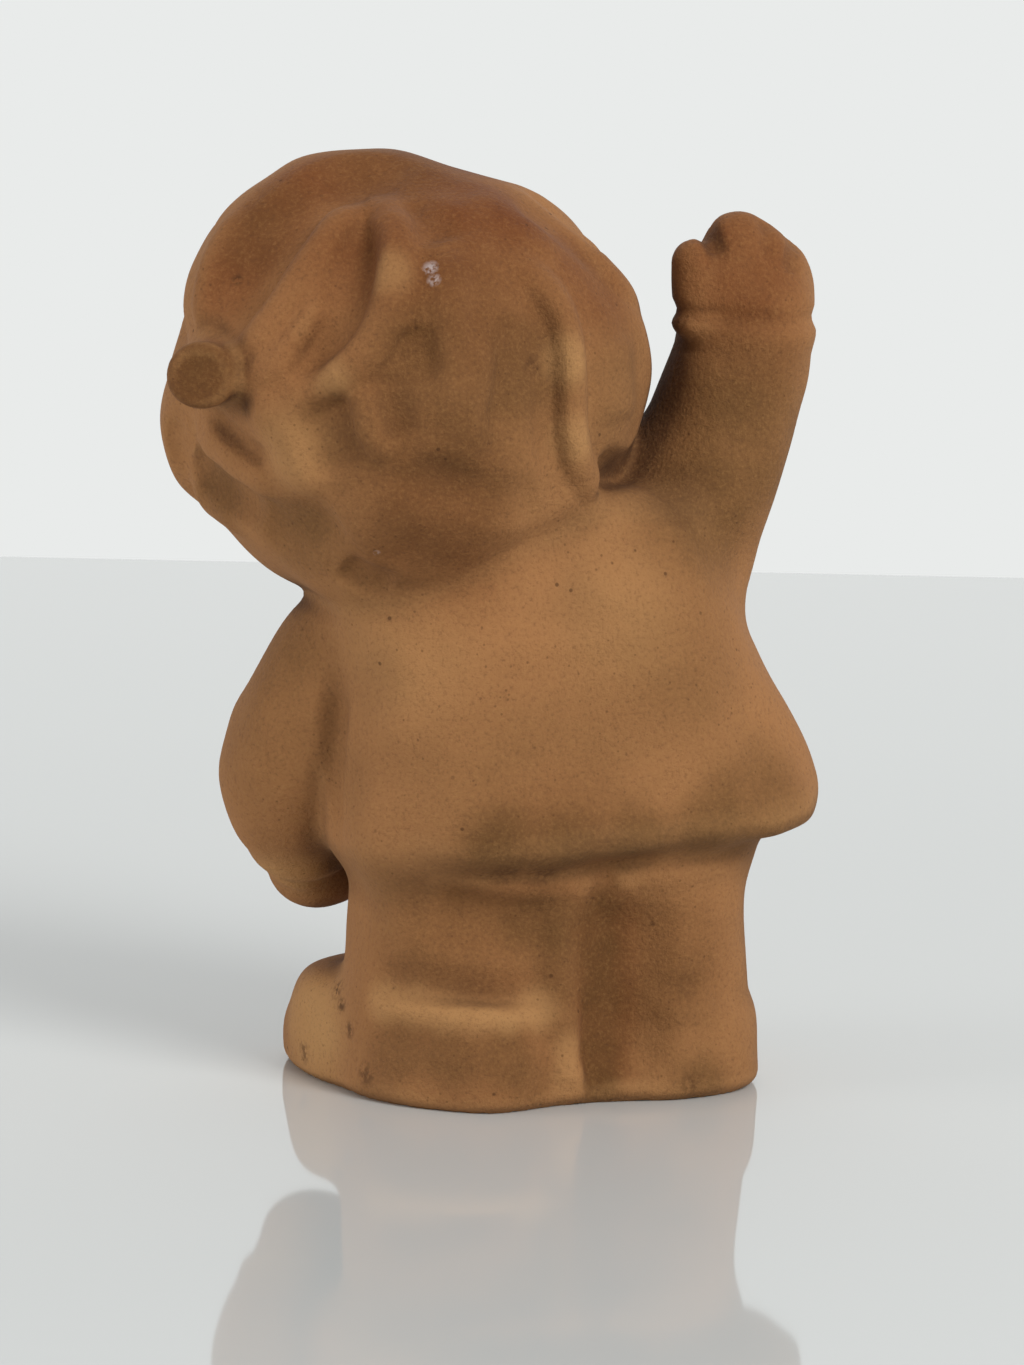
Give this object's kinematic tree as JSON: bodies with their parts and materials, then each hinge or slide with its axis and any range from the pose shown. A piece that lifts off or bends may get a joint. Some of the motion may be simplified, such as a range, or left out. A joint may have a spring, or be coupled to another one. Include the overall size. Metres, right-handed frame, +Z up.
{
  "type": "haniwa figure",
  "caption": "Small fired clay figure of a child in old dress with knotted hair and one raised arm; stands on a shelf by its own weight.",
  "frame": {"origin": "centre of the figure's box, on the plane the soles stand on", "axes": "+Z up; the figure faces -Y; its own left hand is on the +X side"},
  "size_m": [0.0518, 0.0352, 0.072],
  "materials": {
    "terracotta": "matt"
  },
  "bodies": {
    "root": {"haniwa_figure": "terracotta"}
  },
  "joints": []
}
